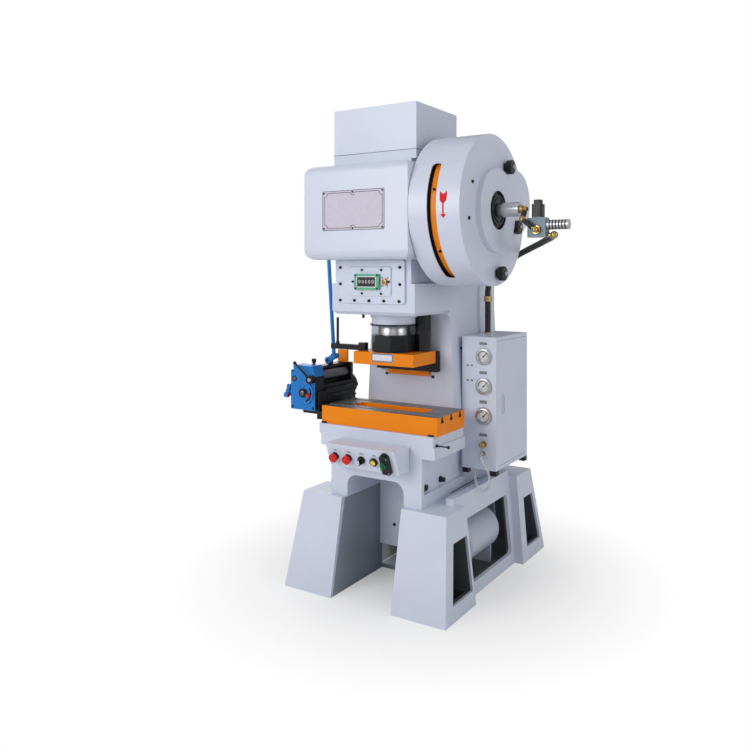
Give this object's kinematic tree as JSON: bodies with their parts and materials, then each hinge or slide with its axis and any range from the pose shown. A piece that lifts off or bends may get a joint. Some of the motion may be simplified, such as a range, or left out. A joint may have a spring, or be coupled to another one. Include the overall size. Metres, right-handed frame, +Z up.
{
  "type": "punch press",
  "caption": "High-speed C-frame punch press on a pedestal base, with flywheel drive under a round guard, roll feeder, air cabinet and tilted button panel.",
  "frame": {"origin": "middle of the four anchor holes, on the floor", "axes": "+X right and along the crankshaft, +Y from the bolster to the column's back, +Z up"},
  "size_m": [1.351, 1.126, 2.15],
  "materials": {
    "casting": "satin paint on cast iron",
    "sheet": "satin paint on steel sheet",
    "orange": "gloss paint on steel",
    "blue": "gloss paint on steel",
    "black_metal": "black oxide and black paint",
    "black_plastic": "moulded plastic",
    "steel": "ground steel",
    "silencer_alloy": "sintered and turned",
    "valve_alloy": "grey die casting",
    "motor_paint": "grey-blue paint",
    "bronze": "turned brass and bronze",
    "belt_rubber": "matt",
    "hose_rubber": "satin",
    "clear_tube": "clear flexible tube",
    "red_plastic": "gloss",
    "yellow_plastic": "translucent",
    "green_plastic": "gloss",
    "counter_green": "gloss",
    "tank_paint": "satin paint"
  },
  "bodies": {
    "press": {"base": "casting", "frame": "casting", "inner_panel": "sheet", "bolster": "orange", "crown_cover": "sheet", "top_cover": "sheet", "head_plate": "sheet", "counter_unit": "counter_green", "flywheel_guard": "sheet", "guard_knobs": "black_plastic", "drive_belts": "belt_rubber", "motor": "motor_paint", "crank_bushes": "bronze", "guide_bush": "steel", "rear_guide": "black_metal", "guide_bar": "orange", "rotary_union": "steel", "brass_fittings": "bronze", "air_valve": "valve_alloy", "silencer": "silencer_alloy", "air_hose": "hose_rubber", "cabinet_body": "sheet", "cabinet_mounts": "black_metal", "gauge_cases": "steel", "drain_tube": "clear_tube", "panel_box": "sheet", "button_bezels": "black_plastic", "switch_box": "black_plastic", "air_tank": "tank_paint", "feeder_gearbox": "blue", "feeder_housing": "black_metal", "feeder_dial": "black_metal", "feeder_upright": "orange"},
    "crank": {"crankshaft": "steel", "hub_cap": "black_metal"},
    "conrod": {"connecting_rod": "steel"},
    "slide": {"plunger": "steel", "lock_nut": "black_metal", "slide_plate": "orange", "guide_post": "black_metal", "release_arm": "black_metal"},
    "flywheel": {"flywheel": "orange", "wheel_bearings": "steel"},
    "pulley": {"motor_pulley": "steel"},
    "door": {"cabinet_door": "sheet"},
    "pointer_1": {"needle_1": "black_plastic"},
    "pointer_2": {"needle_2": "black_plastic"},
    "pointer_3": {"needle_3": "black_plastic"},
    "stop_1": {"stop_button_1": "red_plastic"},
    "stop_2": {"stop_button_2": "red_plastic"},
    "selector": {"selector_knob": "black_plastic"},
    "start": {"start_button": "yellow_plastic"},
    "main_handle": {"switch_handle": "green_plastic"},
    "roll_low": {"feed_roll_low": "steel"},
    "roll_top": {"feed_roll_top": "steel"},
    "rocker": {"feed_rocker": "blue"},
    "rod": {"drive_rod": "blue"},
    "roll_lever": {"feeder_lever": "black_metal"},
    "hand_star": {"feeder_handwheel": "blue"}
  },
  "joints": [
    {"name": "crank_turn", "type": "hinge", "parent": "press", "child": "crank", "pos_m": [0, -0.267, 1.684], "axis": [1, 0, 0], "range_deg": [0, 180]},
    {"name": "conrod_swing", "type": "hinge", "parent": "crank", "child": "conrod", "pos_m": [0, -0.267, 1.699], "axis": [1, 0, 0], "range_deg": [-180, 0]},
    {"name": "slide_stroke", "type": "slide", "parent": "press", "child": "slide", "axis": [0, 0, 1], "range_m": [-0.03, 0]},
    {"name": "rod_swing", "type": "hinge", "parent": "crank", "child": "rod", "pos_m": [-0.384, -0.267, 1.696], "axis": [1, 0, 0], "range_deg": [-180, 0]},
    {"name": "rocker_turn", "type": "hinge", "parent": "press", "child": "rocker", "pos_m": [-0.385, -0.248, 0.996], "axis": [0, 1, 0], "range_deg": [0, 28]},
    {"name": "flywheel_spin", "type": "hinge", "parent": "press", "child": "flywheel", "pos_m": [0.39, -0.267, 1.684], "axis": [1, 0, 0], "continuous": true},
    {"name": "pulley_spin", "type": "hinge", "parent": "press", "child": "pulley", "pos_m": [0.33, 0.227, 1.76], "axis": [1, 0, 0], "continuous": true},
    {"name": "roll_low_spin", "type": "hinge", "parent": "press", "child": "roll_low", "pos_m": [-0.392, -0.22, 0.8624], "axis": [0, 1, 0], "continuous": true},
    {"name": "roll_top_spin", "type": "hinge", "parent": "press", "child": "roll_top", "pos_m": [-0.392, -0.22, 0.9276], "axis": [0, 1, 0], "continuous": true},
    {"name": "lever_turn", "type": "hinge", "parent": "press", "child": "roll_lever", "pos_m": [-0.346, -0.434, 0.927], "axis": [0, 1, 0], "range_deg": [0, 75]},
    {"name": "star_turn", "type": "hinge", "parent": "press", "child": "hand_star", "pos_m": [-0.5, -0.385, 0.852], "axis": [1, 0, 0], "continuous": true},
    {"name": "stop_1_press", "type": "slide", "parent": "press", "child": "stop_1", "axis": [0, -0.9315, -0.3637], "range_m": [-0.005, 0], "stiffness_N_per_m": 900, "springref_m": 0.002},
    {"name": "stop_2_press", "type": "slide", "parent": "press", "child": "stop_2", "axis": [0, -0.9315, -0.3637], "range_m": [-0.005, 0], "stiffness_N_per_m": 900, "springref_m": 0.002},
    {"name": "start_press", "type": "slide", "parent": "press", "child": "start", "axis": [0, -0.9315, -0.3637], "range_m": [-0.005, 0], "stiffness_N_per_m": 600, "springref_m": 0.002},
    {"name": "selector_turn", "type": "hinge", "parent": "press", "child": "selector", "pos_m": [0.001, -0.53359, 0.61871], "axis": [0, -0.9315, -0.3637], "range_deg": [-45, 45]},
    {"name": "main_switch_turn", "type": "hinge", "parent": "press", "child": "main_handle", "pos_m": [0.121, -0.56153, 0.6078], "axis": [0, -0.9315, -0.3637], "range_deg": [0, 90]},
    {"name": "door_swing", "type": "hinge", "parent": "press", "child": "door", "pos_m": [0.411, 0.2957, 0.824], "axis": [0, 0, 1], "range_deg": [0, 110]},
    {"name": "pointer_1_turn", "type": "hinge", "parent": "press", "child": "pointer_1", "pos_m": [0.35, -0.055, 1.038], "axis": [0, 1, 0], "range_deg": [-180, 90]},
    {"name": "pointer_2_turn", "type": "hinge", "parent": "press", "child": "pointer_2", "pos_m": [0.35, -0.055, 0.902], "axis": [0, 1, 0], "range_deg": [-180, 90]},
    {"name": "pointer_3_turn", "type": "hinge", "parent": "press", "child": "pointer_3", "pos_m": [0.35, -0.055, 0.766], "axis": [0, 1, 0], "range_deg": [-180, 90]}
  ],
  "couplings": [
    {"joint": "conrod_swing", "follows": "crank_turn", "ratio": -1},
    {"joint": "slide_stroke", "follows": "crank_turn", "m_per_rad": -0.009549},
    {"joint": "rod_swing", "follows": "crank_turn", "ratio": -1},
    {"joint": "rocker_turn", "follows": "crank_turn", "ratio": 0.1503},
    {"joint": "pulley_spin", "follows": "flywheel_spin", "ratio": 3.603},
    {"joint": "roll_top_spin", "follows": "roll_low_spin", "ratio": -1}
  ]
}
